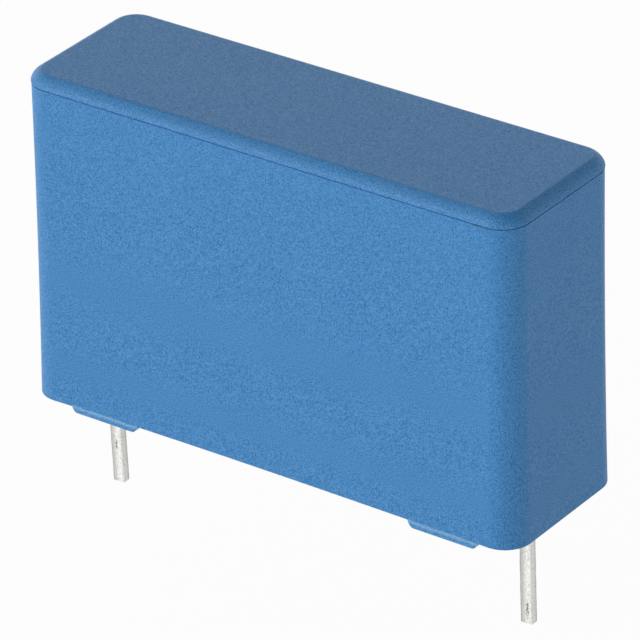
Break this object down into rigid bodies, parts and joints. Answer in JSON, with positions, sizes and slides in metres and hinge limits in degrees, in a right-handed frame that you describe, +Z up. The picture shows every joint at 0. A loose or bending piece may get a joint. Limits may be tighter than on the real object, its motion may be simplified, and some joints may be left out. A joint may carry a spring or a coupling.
{
  "type": "box film capacitor",
  "caption": "Box film capacitor: moulded case on standoffs, sealed with resin round a film winding, with flat leads for soldering into a board.",
  "frame": {"origin": "centre of the case on the board's surface, which the feet of the standoffs touch", "axes": "+X along the case from the left lead to the right one, +Z up from the board through the case, +Y across the case to the rear"},
  "size_m": [0.0262, 0.0084, 0.0218],
  "materials": {
    "case_plastic": "blue moulded plastic with a fine matt grain",
    "resin": "cast epoxy resin, slightly glossy",
    "film": "wound polypropylene film, smooth and slightly silvery",
    "sprayed_metal": "zinc sprayed on, dull and grainy",
    "tinned_lead": "tinned wire, bright with small marks from handling"
  },
  "bodies": {
    "root": {"case": "case_plastic", "potting_resin": "resin", "film_winding": "film", "left_end_spray": "sprayed_metal", "right_end_spray": "sprayed_metal", "left_lead": "tinned_lead", "right_lead": "tinned_lead"}
  },
  "joints": []
}
